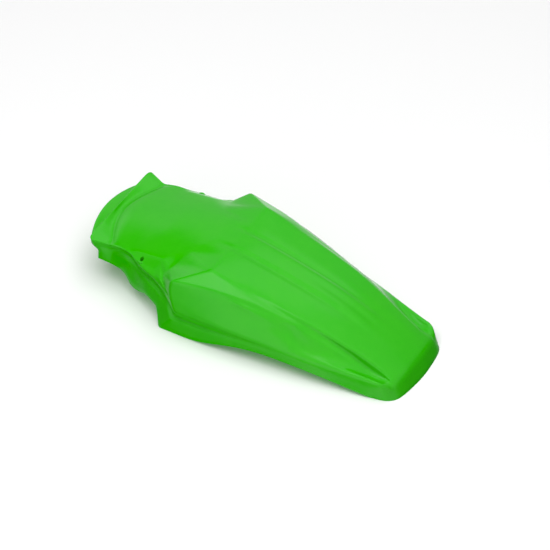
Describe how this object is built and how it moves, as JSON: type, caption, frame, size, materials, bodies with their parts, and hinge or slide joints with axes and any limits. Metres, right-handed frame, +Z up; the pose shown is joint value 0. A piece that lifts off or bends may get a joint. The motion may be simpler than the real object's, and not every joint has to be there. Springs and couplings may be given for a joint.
{
  "type": "motorcycle rear fender",
  "caption": "Moulded rear fender for an off-road motorcycle, with a raised grooved deck, stepped side wings, tucked flanges, a turned-down rear lip and an arched wheel tunnel",
  "frame": {"origin": "centre of the bounding box's underside, on the ground that the fender rests on", "axes": "+X towards the tail along the fender, +Y to the side, +Z up; the fender is the same on both sides of Y = 0"},
  "size_m": [0.6349, 0.2746, 0.1409],
  "materials": {
    "fender_plastic": "semi-gloss moulded green plastic"
  },
  "bodies": {
    "root": {"rear_fender": "fender_plastic"}
  },
  "joints": []
}
